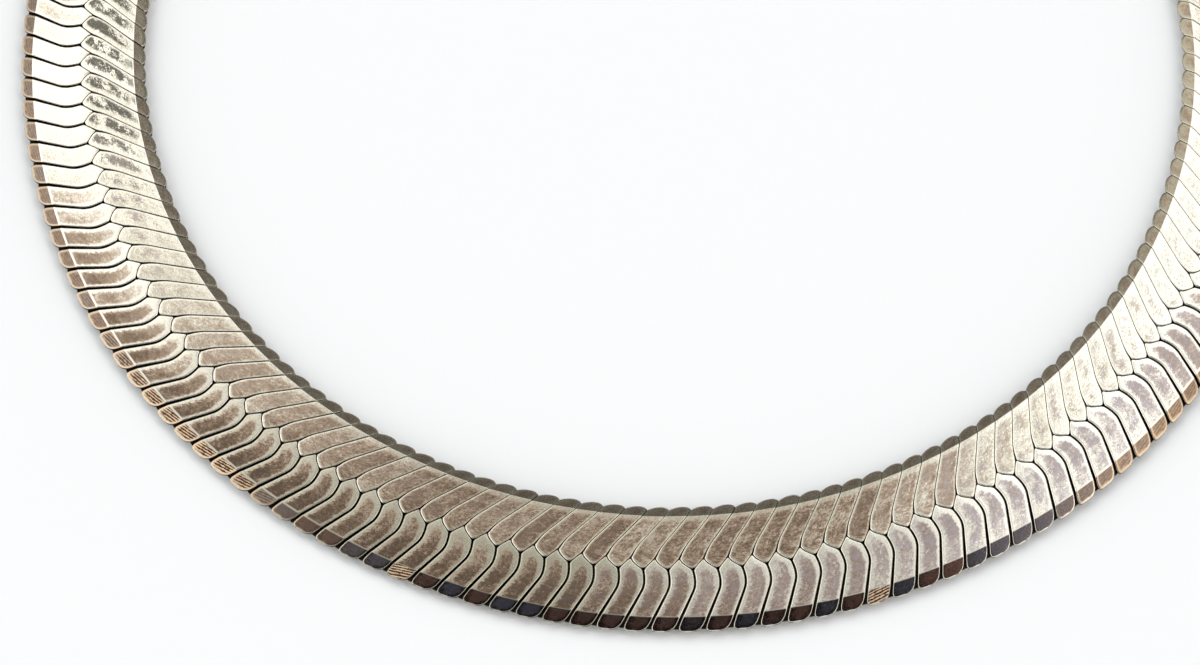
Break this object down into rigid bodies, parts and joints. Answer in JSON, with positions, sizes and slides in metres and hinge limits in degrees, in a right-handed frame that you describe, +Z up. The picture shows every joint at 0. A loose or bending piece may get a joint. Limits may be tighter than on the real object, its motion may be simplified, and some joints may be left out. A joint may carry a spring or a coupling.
{
  "type": "herringbone chain collar",
  "caption": "Flat silver herringbone collar necklace, a closed ring of interlocked slanted links in two rows along a spine, with bevelled rims and a plain box clasp.",
  "frame": {"origin": "centre of the ring, on the surface that the collar lies on", "axes": "+Z up out of the surface, +Y from the centre of the ring to the clasp, +X to the right when the clasp is at the back"},
  "size_m": [0.148, 0.148, 0.0022],
  "materials": {
    "tarnished_silver": "polished silver dulled by brown tarnish, with fine scratches",
    "plain_silver": "plain satin silver"
  },
  "bodies": {
    "root": {"chain_left": "tarnished_silver", "chain_right": "tarnished_silver", "end_cap_left": "plain_silver", "end_cap_right": "plain_silver", "clasp": "plain_silver"}
  },
  "joints": []
}
